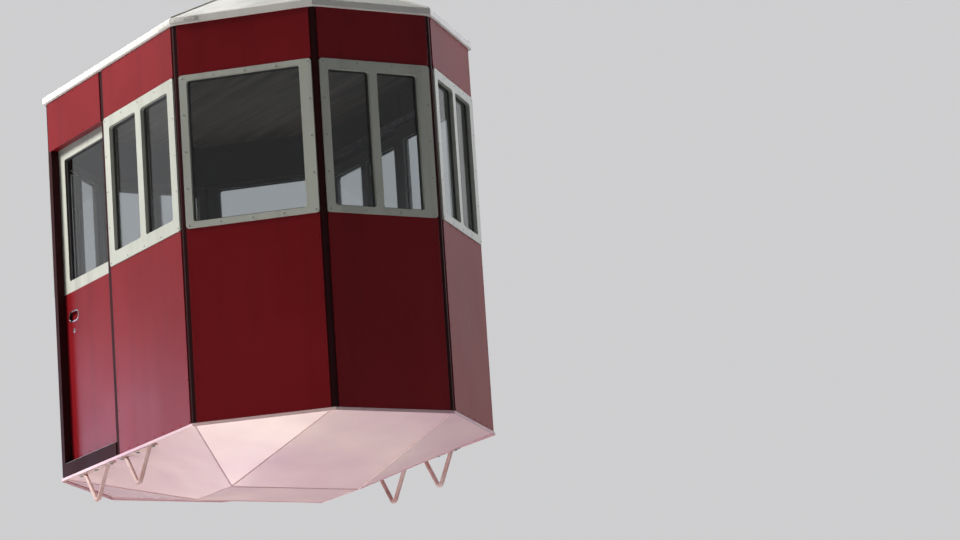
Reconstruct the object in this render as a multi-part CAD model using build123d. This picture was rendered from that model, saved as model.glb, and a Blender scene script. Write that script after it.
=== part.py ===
# Aerial cable car: eight-sided cabin, curved hanger and eight-wheel rope carriage.
# Millimetres. X runs across the line of travel, Y along the track rope, Z up.
# The origin lies on the track rope's axis, at the middle of the carriage.
from build123d import *
from math import cos, tan, radians
import os

os.makedirs("parts", exist_ok=True)

# Cabin plan: an equal-angled octagon, longer along the rope
end_side = 750.0          # the two end sides
diagonal_side = 840.0     # the four slanted sides
long_side = 1830.0        # the two sides with a door each
turn = radians(45)

# Cabin heights above the walls' bottom edge
deck_top = 80.0
sill_height = 1108.0
head_height = 2000.0
band_height = 300.0       # red band over the windows
wall = 45.0               # wall panels and window frames
post_half = 25.0          # a corner post shows this far each side of its corner
post_recess = 6.0
frame_proud = 5.0         # window frames stand out of the red panels
frame_corner = 18.0

# Roof
rim_height = 45.0
rim_proud = 14.0
rim_chamfer = 6.0
roof_rise = 200.0
roof_inset = 420.0        # the flat middle lies this far inside the rim
ceiling_gap = 30.0        # below the walls' top
ceiling_thick = 18.0

# Floor pan: a folded hull, deepest over a flat strip in the middle
pan_depth = 230.0
pan_half_width = 410.0
pan_half_length = 230.0
pan_margin = 6.0

# Glass and fits
glass_thick = 6.0
glass_inset = 22.0
seat = 0.3                # gap where one piece rests in another
clear = 6.0               # gap between pieces that move past each other

# Doors
door_jamb = 60.0          # from the corner to the opening
post_offset = 820.0       # from the same corner to the door's other post
door_lap = 15.0
door_thick = 40.0
door_travel = 745.0
door_stile = 90.0         # door frame, each side of its glass
door_top_rail = 85.0
door_bottom_rail = 70.0
track_height = 40.0
track_width = 44.0
track_wall = 4.0
track_slot = 11.0
track_overrun = 60.0      # past the open leaf
track_bracket = 10.0
block_length = 60.0       # a leaf hangs from two blocks in its track
block_width = 32.0
block_height = 24.0
block_stem = 8.0
block_from_edge = 130.0
pull_length = 130.0       # flush pull, sunk into the leaf's outer face
pull_height = 55.0
pull_sunk = 16.0
pull_from_edge = 60.0
pull_level = 960.0
grab_length = 170.0       # grab handle on the leaf's inner face
grab_bar = 14.0
grab_out = 42.0
grab_bend = 22.0

# Guide brackets
bracket_bar = 26.0
bracket_depth = 220.0
bracket_half = 200.0      # each leg's top, along the side from the tip
bracket_inset = 22.0      # bar centre, inside the wall's outer face
bracket_bend = 34.0
strip_past = 36.0         # mounting strip, past each leg
strip_width = 40.0
strip_height = 22.0
bracket_places_right = (655.0, 1237.0)    # tips, from the side's first corner
bracket_places_left = (458.0, 1040.0)

# Inside rails
rail_bar = 32.0
rail_inset = 110.0
rail_above_sill = 20.0
rail_end_gap = 150.0
rail_post = 18.0          # standoffs
rail_post_in = 60.0       # from the rail's end

# Roof beam on its cross bearers
pad_size = 150.0
pad_thick = 12.0
bearer_length = 960.0
bearer_width = 100.0
bearer_height = 62.0
bearer_reach = 600.0      # bearer centres, along the rope from the middle
beam_length = 1500.0
beam_width = 150.0
beam_height = 125.0
beam_end_height = 55.0
section_flange = 10.0
section_web = 14.0
rib_thick = 10.0
rib_places = (-450.0, -150.0, 150.0, 450.0)

# Hanger
hanger_drop = 2600.0      # rope axis to roof top
arm_depth = 150.0
arm_width = 140.0
arm_plate = 12.0
arm_lip = 14.0            # the flange plates stand past the side plates
arm_bend = 250.0
arm_reach = 430.0         # how far the arm swings out past the rope
arm_neck = 400.0          # the arm leaves the hub straight down to this height
arm_out_high, arm_out_low = 130.0, -330.0
arm_back = -1150.0        # back over the cabin's middle from here down
foot_length = 420.0
foot_width = 250.0
foot_thick = 20.0
gusset_height = 190.0
gusset_thick = 14.0
gusset_apart = 90.0
hub_collar = 12.0
hub_collar_long = 26.0
hub_gap = 20.0            # hub to main beam
cap_thick = 20.0
cap_rise = 28.0

# Rope and wheels
rope_radius = 22.5
groove_radius = 25.0
root_radius = 100.0
wheel_radius = 130.0
wheel_width = 64.0
hub_half = 38.0
hub_radius = 44.0
web_half = 9.0
web_root = 56.0
rim_depth = 12.0          # metal under the groove
rim_taper = 8.0
groove_lip = 1.0
axle_radius = 25.0
axle_collar = 9.0         # rise of the axles' heads
running = 0.05            # radial gap of a shaft that turns
fixed = 0.1               # radial gap of a shaft that stays

# Bogies, rockers and main beam
bogie_half = 170.0        # wheel to bogie pin, along the rope
bogie_pin_rise = 70.0     # above the axles
rocker_half = 350.0       # bogie pin to rocker pin
rocker_pin_rise = 150.0
rocker_centre = 880.0
cheek_in, cheek_out = 41.0, 53.0
axle_head = 60.0
rocker_in, rocker_out = 66.0, 80.0
beam_in, beam_out = 87.0, 105.0
pivot_height = 560.0
pivot_radius = 50.0
rocker_pin_radius = 30.0
hub_length = 168.0
bogie_end, bogie_middle = 42.0, 44.0          # outline radii
bogie_arch, bogie_arch_drop = 110.0, 120.0    # cut under the middle: radius, centre below the axles
bogie_tube = 38.0
rocker_end, rocker_middle = 44.0, 58.0
rocker_tube = 52.0
bogie_pin_end = 2.0       # bogie pins, past the rocker's plates
# Columns: share of the way from the rocker's pin to a bogie's, hole radius
rocker_holes = ((0.37, 24.0), (0.66, 19.0))
beam_end, beam_middle = 75.0, 150.0
# Columns: distance from the middle, hole radius
beam_holes = ((430.0, 48.0), (590.0, 36.0))
pivot_tube = 34.0         # wall of the tube round the pivot
spacer_radius = 30.0
spacer_out, spacer_height = 340.0, 470.0
pin_boss = 56.0
pin_boss_thick = 8.0
pin_end = 14.0            # rocker pins, past the main beam

# Rope brake, hung between the main beam's plates
yoke_height = 450.0
yoke_thick = 20.0
yoke_half = 90.0
stem_half = 60.0
housing_top, housing_foot = 330.0, 250.0
housing_half_width, housing_half_length = 70.0, 150.0
housing_chamfer = 14.0
jaw_gap = 28.0            # rope axis to a shoe
shoe_thick = 18.0
shoe_half = 130.0
shoe_low, shoe_high = -28.0, 30.0
shoe_chamfer = 10.0
lever_place = 95.0        # two pairs of levers, each side of the middle
lever_thick = 26.0
lever_in, lever_out = 44.0, 68.0
lever_lap = 6.0           # into the housing, and past the springs' rod
lever_toe = 8.0           # round the back of its shoe
lever_heel = 30.0         # above the shoe
lever_pin = 16.0
lever_pin_height = 170.0
spring_height = 224.0
spring_rod = 10.0
spring_radius = 21.0
spring_thick = 4.0
spring_pitch = 8.0
spring_count = 8

# Haul-rope bar with a socket at each end
haul_drop = 250.0         # below the track rope's axis
haul_in = 20.0            # bar centre, outside the main beam's outer face
haul_radius = 30.0
haul_length = 900.0
haul_plate = 14.0
haul_plate_out = 260.0    # plates, along the rope from the middle
haul_plate_foot = 45.0
haul_plate_head = 28.0
haul_plate_spread = 32.0
haul_plate_top = 472.0
socket_wide, socket_slim = 48.0, 32.0
socket_length = 260.0
socket_centre = 570.0
socket_bore = 14.0
socket_bore_depth = 130.0
socket_collar = 40.0
socket_collar_long = 24.0

# Derived levels
wall_height = head_height + band_height
roof_top = -hanger_drop
rim_top = roof_top - roof_rise
eave = rim_top - rim_height
base = eave - wall_height           # the walls' bottom edge
axle_z = rope_radius + root_radius
bogie_pin_z = axle_z + bogie_pin_rise
rocker_pin_z = bogie_pin_z + rocker_pin_rise

nodes = {}


def add(name, *solids):
    """Store solids under a node's name."""
    nodes.setdefault(name, []).extend(solids)


def slab(x0, x1, y0, y1, z0, z1):
    """Box between two corners."""
    return Pos((x0 + x1) / 2, (y0 + y1) / 2, (z0 + z1) / 2) * Box(x1 - x0, y1 - y0, z1 - z0)


def bar_x(radius, x0, x1, y=0.0, z=0.0):
    """Round bar along X."""
    return Pos((x0 + x1) / 2, y, z) * Rot(0, 90, 0) * Cylinder(radius, x1 - x0)


def plate_x(outline, x0, x1):
    """Flat sketch drawn in the Y-Z plane, made solid from x0 to x1."""
    plane = Plane(origin=(x0, 0, 0), x_dir=(0, 1, 0), z_dir=(1, 0, 0))
    return extrude(plane * outline, x1 - x0)


def plate_y(outline, y0, y1):
    """Flat sketch drawn in the X-Z plane, made solid from y0 to y1."""
    plane = Plane(origin=(0, y1, 0), x_dir=(1, 0, 0), z_dir=(0, -1, 0))
    return extrude(plane * outline, y1 - y0)


def bar_y(radius, y0, y1, x=0.0, z=0.0):
    """Round bar along Y."""
    return Pos(x, (y0 + y1) / 2, z) * Rot(90, 0, 0) * Cylinder(radius, y1 - y0)


def polygon(*points):
    return make_face(Polyline(*points, close=True))


def girder(outline, width, plate, ribs):
    """I-section: a flange round the outline's edge, a web in the middle and cross ribs."""
    half = width / 2
    full = plate(outline, -half, half)
    pocket = offset(outline, amount=-section_flange, kind=Kind.INTERSECTION)
    beam = full - plate(pocket, -half, -section_web / 2) - plate(pocket, section_web / 2, half)
    for rib in ribs:
        beam += full & rib
    return beam


# Plan corners, anticlockwise from above, starting at the end side's left corner
step_in = diagonal_side * cos(turn)
half_width = end_side / 2 + step_in
half_length = long_side / 2 + step_in


def plan(offset_by=0.0):
    """Corners of the plan, moved outwards by offset_by."""
    shift = offset_by * tan(turn / 2)
    a, b = end_side / 2 + shift, half_length + offset_by
    c, d = half_width + offset_by, long_side / 2 + shift
    return [(-a, -b), (a, -b), (c, -d), (c, d), (a, b), (-a, b), (-c, d), (-c, -d)]


def plan_slab(offset_by, z0, z1):
    """Octagonal slab between two heights."""
    face = make_face(Polyline(*plan(offset_by), close=True))
    return Pos(0, 0, z0) * extrude(face, z1 - z0)


class Side:
    """One wall side: u runs along it from its left corner seen from outside, d runs inwards."""

    def __init__(self, index):
        corners = plan()
        start, end = Vector(*corners[index], 0), Vector(*corners[(index + 1) % 8], 0)
        self.length = (end - start).length
        self.place = Plane(origin=start, x_dir=(end - start).normalized(), z_dir=(0, 0, 1)).location

    def block(self, u0, u1, d0, d1, z0, z1):
        return self.place * slab(u0, u1, d0, d1, base + z0, base + z1)

    def upright(self, outline, d0, d1):
        """Sketch drawn in u and height, made solid from depth d0 to d1."""
        flat = Plane(origin=(0, d1, base), x_dir=(1, 0, 0), z_dir=(0, -1, 0))
        return self.place * extrude(flat * outline, d1 - d0)


sides = [Side(index) for index in range(8)]
long_sides = (2, 6)

# Window bays. Columns: side, start, end, left, right, top and bottom margins, mullion (0 for one pane)
bays = []
for half in (0, 4):
    bays += [
        (half + 0, post_half, end_side - post_half, 50, 80, 60, 42, 48),
        (half + 1, post_half, diagonal_side - post_half, 60, 70, 52, 48, 55),
        (half + 2, post_offset + post_half, long_side - post_half, 75, 80, 66, 78, 75),
        ((half + 7) % 8, post_half, diagonal_side - post_half, 45, 72, 32, 38, 0),
    ]


def window_openings(start, end, left, right, top, bottom, mullion):
    """Pane rectangles of a bay as (u0, u1, z0, z1)."""
    u0, u1 = start + left, end - right
    z0, z1 = sill_height + bottom, head_height - top
    if not mullion:
        return [(u0, u1, z0, z1)]
    middle = (u0 + u1) / 2
    return [(u0, middle - mullion / 2, z0, z1), (middle + mullion / 2, u1, z0, z1)]


def rectangle(u0, u1, z0, z1, corner=0.0):
    """Upright rectangle, with rounded corners if asked."""
    width, height = u1 - u0, z1 - z0
    shape = RectangleRounded(width, height, corner) if corner else Rectangle(width, height)
    return Pos((u0 + u1) / 2, (z0 + z1) / 2) * shape


def walls():
    for index, start, end, left, right, top, bottom, mullion in bays:
        side = sides[index]
        add("lower_panels", side.block(start, end, 0, wall, 0, sill_height))
        add("upper_panels", side.block(start, end, 0, wall, head_height, wall_height))
        frame = rectangle(start, end, sill_height, head_height, frame_corner)
        for u0, u1, z0, z1 in window_openings(start, end, left, right, top, bottom, mullion):
            frame -= rectangle(u0, u1, z0, z1, frame_corner)
            pane = rectangle(u0 + seat, u1 - seat, z0 + seat, z1 - seat, frame_corner)
            add("window_panes", side.upright(pane, glass_inset, glass_inset + glass_thick))
        add("window_frames", side.upright(frame, -frame_proud, wall))


def corner_posts():
    outer, inner = plan(-post_recess), plan(-wall)
    for index in range(8):
        before, after = sides[index - 1], sides[index]
        ends = []
        for side, u in ((before, before.length - post_half), (after, post_half)):
            for d in (post_recess, wall):
                point = (side.place * Pos(u, d, 0)).position
                ends.append((point.X, point.Y))
        outline = [ends[0], outer[index], ends[2], ends[3], inner[index], ends[1]]
        face = make_face(Polyline(*outline, close=True))
        add("corner_posts", Pos(0, 0, base) * extrude(face, wall_height))
    for index in long_sides:
        add("corner_posts", sides[index].block(
            post_offset - post_half, post_offset + post_half, post_recess, wall, 0, wall_height))


def doors():
    opening_end = post_offset - post_half
    leaf_start, leaf_end = door_jamb - door_lap, opening_end + door_lap
    leaf_out = wall + clear
    leaf_in = leaf_out + door_thick
    leaf_foot, leaf_head = deck_top + clear, head_height + door_lap
    track_foot = leaf_head + clear + track_wall
    track_end = leaf_end + door_travel + track_overrun
    track_mid = (leaf_out + leaf_in) / 2
    block_foot = track_foot + track_wall + seat
    for index, name in zip(long_sides, ("right", "left")):
        side = sides[index]
        add("upper_panels", side.block(post_half, opening_end, 0, wall, head_height, wall_height))
        add("door_surrounds",
            side.block(post_half, opening_end, 0, wall, 0, deck_top)
            + side.block(post_half, door_jamb, 0, wall, deck_top, head_height))
        panel = side.block(leaf_start, leaf_end, leaf_out, leaf_in, leaf_foot, sill_height)
        panel -= door_pull(side, leaf_start, leaf_out)
        add("door_panel_" + name, panel + door_grab(side, leaf_start, leaf_in))
        frame = rectangle(leaf_start, leaf_end, sill_height, leaf_head)
        pane_box = (leaf_start + door_stile, leaf_end - door_stile,
                    sill_height + door_bottom_rail, leaf_head - door_top_rail)
        frame -= rectangle(*pane_box, frame_corner)
        leaf = side.upright(frame, leaf_out, leaf_in)
        for u in (leaf_start + block_from_edge, leaf_end - block_from_edge):
            along = (u - block_length / 2, u + block_length / 2)
            for width, foot, top in ((block_stem, leaf_head, block_foot),
                                     (block_width, block_foot, block_foot + block_height)):
                leaf += side.block(*along, track_mid - width / 2, track_mid + width / 2, foot, top)
        add("door_frame_" + name, leaf)
        u0, u1, z0, z1 = pane_box
        pane = rectangle(u0 + seat, u1 - seat, z0 + seat, z1 - seat, frame_corner)
        add("door_pane_" + name, side.upright(pane, track_mid - glass_thick / 2, track_mid + glass_thick / 2))
        add("door_tracks", door_track(side, leaf_start, track_end, track_mid, track_foot))


def door_track(side, start, end, middle, foot):
    """Slotted box track with its mounting strip."""
    half, top = track_width / 2, foot + track_height
    track = side.block(start, end, middle - half, middle + half, foot, top)
    track -= side.block(start - 1, end + 1, middle - half + track_wall, middle + half - track_wall,
                        foot + track_wall, top - track_wall)
    track -= side.block(start - 1, end + 1, middle - track_slot / 2, middle + track_slot / 2,
                        foot - 1, foot + track_wall + 1)
    return track + side.block(start, end, wall, middle - half, top - track_bracket, top)


def door_pull(side, leaf_start, face):
    """Hollow of the flush pull, with rounded ends."""
    middle = Pos(leaf_start + pull_from_edge + pull_length / 2, pull_level)
    return side.upright(middle * SlotOverall(pull_length, pull_height), face - 1, face + pull_sunk)


def door_grab(side, leaf_start, face):
    """Upright grab handle, bent from round bar."""
    out, half = face + grab_out, grab_length / 2
    u = leaf_start + pull_from_edge
    points = [Vector(u, face, pull_level - half), Vector(u, out, pull_level - half),
              Vector(u, out, pull_level + half), Vector(u, face, pull_level + half)]
    path = FilletPolyline(*points, radius=grab_bend)
    bar = sweep(Plane(origin=path @ 0, z_dir=path % 0) * Circle(grab_bar / 2), path=path)
    return side.place * Pos(0, 0, base) * bar


def floor_and_roof():
    add("floor_deck", plan_slab(-wall - seat, base, base + deck_top))
    ceiling_top = base + wall_height - ceiling_gap
    add("ceiling", plan_slab(-wall - seat, ceiling_top - ceiling_thick, ceiling_top))
    add("floor_pan", floor_pan())
    # Columns: how far out, height
    profile = [(rim_proud - rim_chamfer, eave), (rim_proud, eave + rim_chamfer),
               (rim_proud, rim_top - rim_chamfer), (rim_proud - rim_chamfer, rim_top)]
    rim = loft([Pos(0, 0, z) * polygon(*plan(out)) for out, z in profile], ruled=True)
    add("eave_rim", rim - plan_slab(-wall, eave - 1, rim_top + 1))
    low = polygon(*plan(rim_proud - rim_chamfer))
    high = polygon(*plan(rim_proud - roof_inset))
    add("roof_shell", loft([Pos(0, 0, rim_top) * low, Pos(0, 0, roof_top) * high], ruled=True))


def floor_pan():
    """Folded pan: facets from the eight sides down to a flat strip in the middle."""
    rim = [Vector(x, y, base) for x, y in plan(-pan_margin)]
    w, l, z = pan_half_width, pan_half_length, base - pan_depth
    low = [Vector(-w, -l, z), Vector(w, -l, z), Vector(w, l, z), Vector(-w, l, z)]
    loops = [rim, low]
    # Columns: first rim corner, second rim corner, then the strip's corners below them
    facets = [(0, 1, 1, 0), (2, 3, 2, 1), (4, 5, 3, 2), (6, 7, 0, 3)]
    loops += [[rim[a], rim[b], low[c], low[d]] for a, b, c, d in facets]
    loops += [[rim[a], rim[(a + 1) % 8], low[c]] for a, c in ((1, 1), (3, 2), (5, 3), (7, 0))]
    faces = [Face(Wire.make_polygon(points, close=True)) for points in loops]
    return Solid(Shell(faces))


def brackets():
    """V-shaped guides of bent bar, each under a strip along the wall's bottom edge."""
    pan = nodes["floor_pan"][0]
    places = [(long_sides[0], u) for u in bracket_places_right]
    places += [(long_sides[1], u) for u in bracket_places_left]
    for index, u in places:
        side = sides[index]
        top = base + bracket_bar
        points = [Vector(u - bracket_half, bracket_inset, top), Vector(u, bracket_inset, base - bracket_depth),
                  Vector(u + bracket_half, bracket_inset, top)]
        path = FilletPolyline(*points, radius=bracket_bend)
        bar = sweep(Plane(origin=path @ 0, z_dir=path % 0) * Circle(bracket_bar / 2), path=path)
        half = bracket_half + strip_past
        near, far = bracket_inset - strip_width / 2, bracket_inset + strip_width / 2
        strip = slab(u - half, u + half, near, far, base - strip_height, base)
        over = slab(u - 2 * half, u + 2 * half, -wall, 2 * wall, base, top + bracket_bar)
        add("guide_brackets", side.place * (bar + strip - over) - pan)


def hand_rails():
    for index in (0, 1, 3, 4, 5, 7):
        side = sides[index]
        height = base + sill_height + rail_above_sill
        span = side.length - 2 * rail_end_gap
        rail = Pos(side.length / 2, rail_inset, height) * Rot(0, 90, 0) * Cylinder(rail_bar / 2, span)
        first = rail_end_gap + rail_post_in
        for u in (first, side.length - first):
            rail += Pos(u, (wall + seat + rail_inset) / 2, height) * Rot(90, 0, 0) * Cylinder(
                rail_post / 2, rail_inset - wall - seat)
        add("hand_rails", side.place * rail)


def roof_frame():
    """Long beam on two cross bearers, which stand on pads. Returns the beam's top."""
    bearer_foot = roof_top + pad_thick
    beam_foot = bearer_foot + bearer_height
    beam_top = beam_foot + beam_height
    reach, half = beam_length / 2, bearer_length / 2
    outline = polygon((-reach, beam_foot), (reach, beam_foot), (reach, beam_foot + beam_end_height),
                      (reach / 2, beam_top), (-reach / 2, beam_top), (-reach, beam_foot + beam_end_height))
    ribs = [slab(-beam_width, beam_width, y - rib_thick / 2, y + rib_thick / 2, beam_foot, beam_top)
            for y in rib_places]
    frame = girder(outline, beam_width, plate_x, ribs)
    cross = polygon((-half, bearer_foot), (half, bearer_foot), (half, beam_foot), (-half, beam_foot))
    bearer = girder(cross, bearer_width, plate_y, [])
    for sign in (-1, 1):
        frame += Pos(0, sign * bearer_reach, 0) * bearer
        for end in (-1, 1):
            x, y = end * (half - pad_size / 2), sign * bearer_reach
            frame += slab(x - pad_size / 2, x + pad_size / 2, y - pad_size / 2, y + pad_size / 2,
                          roof_top, bearer_foot)
    add("roof_beam", frame)
    return beam_top


def hanger(foot):
    """Box girder bent out past the rope, with its hub above and its bolted foot below."""
    hub_x = beam_out + hub_gap + hub_length / 2
    points = [(hub_x, pivot_height), (hub_x, arm_neck), (arm_reach, arm_out_high), (arm_reach, arm_out_low),
              (0, arm_back), (0, foot)]
    line = FilletPolyline(*points, radius=arm_bend)
    full = trace(line, arm_depth)
    core = trace(line, arm_depth - 2 * arm_plate)
    half, side = arm_width / 2, arm_width / 2 - arm_lip
    arm = plate_y(full, -half, half) - plate_y(core, -half, half)
    arm += plate_y(core, side - arm_plate, side) + plate_y(core, -side, arm_plate - side)
    arm += slab(-foot_width / 2, foot_width / 2, -foot_length / 2, foot_length / 2, foot, foot + foot_thick)
    floor, edge = foot + foot_thick, foot_length / 2 - arm_plate
    for sign in (-1, 1):
        brace = polygon((sign * side, floor), (sign * edge, floor), (sign * side, floor + gusset_height))
        for x in (-gusset_apart / 2, gusset_apart / 2):
            arm += plate_x(brace, x - gusset_thick / 2, x + gusset_thick / 2)
    near, far = hub_x - hub_length / 2, hub_x + hub_length / 2
    arm += bar_x(2 * pivot_radius, near, far, 0, pivot_height)
    for start, end in ((near, near + hub_collar_long), (far - hub_collar_long, far)):
        arm += bar_x(2 * pivot_radius + hub_collar, start, end, 0, pivot_height)
    bore = bar_x(pivot_radius + running, near - arm_width, far + arm_width, 0, pivot_height)
    add("hanger_arm", arm - bore)
    cap_at = far + clear
    pin = bar_x(pivot_radius, -beam_out - cap_thick, cap_at + cap_thick, 0, pivot_height)
    pin += bar_x(pivot_radius + cap_rise, cap_at, cap_at + cap_thick, 0, pivot_height)
    pin += bar_x(pivot_radius + cap_rise, -beam_out - cap_thick, -beam_out - fixed, 0, pivot_height)
    add("hanger_pin", pin)


def disc(radius, y, z):
    """Circle in the Y-Z plane's own drawing coordinates."""
    return Pos(y, z) * Circle(radius)


def hull(*discs):
    """Outline stretched round several circles."""
    edges = [edge for one in discs for edge in one.edges()]
    return make_hull(edges)


def main_beam():
    ends = [disc(beam_end, sign * rocker_centre, rocker_pin_z) for sign in (-1, 1)]
    outline = hull(*ends, disc(beam_middle, 0, pivot_height))
    for y, radius in beam_holes:
        height = rocker_pin_z + (pivot_height - rocker_pin_z) * (1 - y / rocker_centre)
        for sign in (-1, 1):
            outline -= disc(radius, sign * y, height)
    beam = plate_x(outline, beam_in, beam_out) + plate_x(outline, -beam_out, -beam_in)
    beam += bar_x(pivot_radius + pivot_tube, -beam_out, beam_out + pin_end, 0, pivot_height)
    boss = beam_out + pin_boss_thick
    for sign in (-1, 1):
        beam += bar_x(spacer_radius, -beam_out, beam_out, sign * spacer_out, spacer_height)
        pin = (sign * rocker_centre, rocker_pin_z)
        beam += bar_x(pin_boss, beam_in, boss, *pin) + bar_x(pin_boss, -boss, -beam_in, *pin)
        beam += bar_x(rocker_pin_radius, -beam_out - pin_end, beam_out + pin_end, *pin)
    beam -= bar_x(pivot_radius + fixed, -2 * beam_out, 2 * beam_out, 0, pivot_height)
    add("main_beam", beam)


def rockers():
    rise = rocker_pin_z - bogie_pin_z
    for number, sign in ((1, -1), (2, 1)):
        centre = disc(rocker_middle, 0, rocker_pin_z)
        left = disc(rocker_end, -rocker_half, bogie_pin_z)
        right = disc(rocker_end, rocker_half, bogie_pin_z)
        outline = hull(left, centre) + hull(right, centre)
        for share, radius in rocker_holes:
            for side in (-1, 1):
                outline -= disc(radius, side * share * rocker_half, rocker_pin_z - share * rise)
        rocker = plate_x(outline, rocker_in, rocker_out) + plate_x(outline, -rocker_out, -rocker_in)
        rocker += bar_x(rocker_tube, -rocker_out, rocker_out, 0, rocker_pin_z)
        rocker -= bar_x(rocker_pin_radius + running, -2 * rocker_out, 2 * rocker_out, 0, rocker_pin_z)
        for side in (-1, 1):
            pin_reach = rocker_out + bogie_pin_end
            rocker += bar_x(axle_radius, -pin_reach, pin_reach, side * rocker_half, bogie_pin_z)
        add(f"rocker_beam_{number}", Pos(0, sign * rocker_centre, 0) * rocker)


def wheel():
    """Grooved rope wheel about the X axis, at the origin."""
    half = wheel_width / 2
    rim_foot = root_radius - rim_depth
    web_top = rim_foot - rim_taper
    lip = groove_radius + groove_lip
    profile = Polyline(
        (-half, wheel_radius), (-half, rim_foot), (-web_half, web_top), (-web_half, web_root),
        (-hub_half, hub_radius), (-hub_half, axle_radius + running), (hub_half, axle_radius + running),
        (hub_half, hub_radius), (web_half, web_root), (web_half, web_top), (half, rim_foot),
        (half, wheel_radius), (lip, wheel_radius))
    groove = ThreePointArc((lip, wheel_radius), (0, root_radius), (-lip, wheel_radius))
    closing = Line((-lip, wheel_radius), (-half, wheel_radius))
    return revolve(Plane.XY * make_face([*profile.edges(), groove, closing]), Axis.X)


def bogies():
    one_wheel = wheel()
    tube_end = (cheek_out + 3 * rocker_in) / 4       # the pivot tube ends close to the rocker's plates
    number = 0
    for rocker in (-1, 1):
        for side in (-1, 1):
            number += 1
            centre = rocker * rocker_centre + side * rocker_half
            outline = hull(disc(bogie_end, -bogie_half, axle_z), disc(bogie_end, bogie_half, axle_z),
                           disc(bogie_middle, 0, bogie_pin_z))
            outline -= disc(bogie_arch, 0, axle_z - bogie_arch_drop)
            frame = plate_x(outline, cheek_in, cheek_out) + plate_x(outline, -cheek_out, -cheek_in)
            frame += bar_x(bogie_tube, -tube_end, tube_end, 0, bogie_pin_z)
            frame -= bar_x(axle_radius + running, -2 * tube_end, 2 * tube_end, 0, bogie_pin_z)
            for end in (-1, 1):
                frame -= bar_x(axle_radius + fixed, -2 * tube_end, 2 * tube_end, end * bogie_half, axle_z)
                at = centre + end * bogie_half
                axle = bar_x(axle_radius, -axle_head, axle_head, at, axle_z)
                for sign in (-1, 1):
                    inner, outer = sorted((sign * (cheek_out + fixed), sign * axle_head))
                    axle += bar_x(axle_radius + axle_collar, inner, outer, at, axle_z)
                add(f"bogie_axles_{number}", axle)
                add(f"wheel_{2 * number - (end < 0)}", Pos(0, at, axle_z) * one_wheel)
            add(f"bogie_frame_{number}", Pos(0, centre, 0) * frame)


def rope_brake():
    """Two shoes on two pairs of levers, closed by stacks of disc springs under a housing."""
    hold = beam_in - seat
    brake = slab(-hold, hold, -yoke_half, yoke_half, yoke_height - yoke_thick, yoke_height)
    stem = polygon((-hold, yoke_height - yoke_thick), (hold, yoke_height - yoke_thick),
                   (stem_half, yoke_height - 2 * yoke_thick), (stem_half, housing_top),
                   (-stem_half, housing_top), (-stem_half, yoke_height - 2 * yoke_thick))
    brake += plate_y(stem, -stem_half, stem_half)
    housing = slab(-housing_half_width, housing_half_width, -housing_half_length, housing_half_length,
                   housing_foot, housing_top)
    brake += chamfer(housing.edges().filter_by(Axis.Z), housing_chamfer)
    for sign in (-1, 1):
        inner, outer = sorted((sign * jaw_gap, sign * (jaw_gap + shoe_thick)))
        shoe = slab(inner, outer, -shoe_half, shoe_half, shoe_low, shoe_high)
        ends = shoe.edges().filter_by(Axis.Z).group_by(Axis.X)[0 if sign > 0 else -1]
        brake += chamfer(ends, shoe_chamfer)
        toe_in, toe_out = jaw_gap + lever_toe / 2, jaw_gap + shoe_thick + lever_toe
        lever = polygon(*[(sign * x, z) for x, z in (
            (lever_in, housing_foot + lever_lap), (lever_out, housing_foot + lever_lap),
            (lever_out, lever_pin_height / 2),
            (toe_out, shoe_low + lever_toe), (toe_in, shoe_low + lever_toe),
            (toe_in, shoe_high - lever_toe / 2), (lever_in, shoe_high + lever_heel))])
        for y in (-lever_place, lever_place):
            brake += plate_y(lever, y - lever_thick / 2, y + lever_thick / 2)
        brake += bar_y(lever_pin, -shoe_half, shoe_half, sign * (lever_in + lever_out) / 2, lever_pin_height)
    for y in (-lever_place, lever_place):
        brake += bar_x(spring_rod, -lever_out - lever_lap, lever_out + lever_lap, y, spring_height)
        for step in range(spring_count):
            x = (step - (spring_count - 1) / 2) * spring_pitch
            brake += bar_x(spring_radius, x - spring_thick / 2, x + spring_thick / 2, y, spring_height)
    add("rope_brake", brake)


def haul_bar():
    """Bar slung beside the track rope, with a socket for the haul rope at each end."""
    face = -beam_out - seat
    x, z = face - haul_in, -haul_drop
    haul = bar_y(haul_radius, -haul_length / 2, haul_length / 2, x, z)
    for sign in (-1, 1):
        y = sign * haul_plate_out
        heads = [disc(haul_plate_head, y + shift, haul_plate_top)
                 for shift in (-haul_plate_spread, haul_plate_spread)]
        outline = hull(disc(haul_plate_foot, y, z), *heads)
        haul += plate_x(outline, face - haul_plate, face)
        haul += Pos(x, sign * socket_centre, z) * Rot(90 * sign, 0, 0) * Cone(
            socket_wide, socket_slim, socket_length)
        tip = socket_centre + socket_length / 2
        near = tip - socket_length - socket_collar_long / 2
        haul += bar_y(socket_collar, *sorted((sign * near, sign * (near + socket_collar_long))), x, z)
        bored = sorted((sign * (tip - socket_bore_depth), sign * (tip + socket_bore)))
        haul -= bar_y(socket_bore, *bored, x, z)
    add("haul_bar", haul)


walls()
corner_posts()
doors()
floor_and_roof()
brackets()
hand_rails()
hanger(roof_frame())
main_beam()
rockers()
bogies()
rope_brake()
haul_bar()

for name, solids in nodes.items():
    pieces = [solid for shape in solids for solid in shape.solids()]
    export_step(Compound(children=pieces) if len(pieces) > 1 else pieces[0], f"parts/{name}.step")
print(len(nodes), "nodes, base", base, "roof", roof_top, "half width", half_width, "half length", half_length)
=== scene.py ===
import bmesh
import bpy
from math import copysign, cos, hypot, pi, radians, sin, tan, tau
from mathutils import Matrix, Vector


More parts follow.
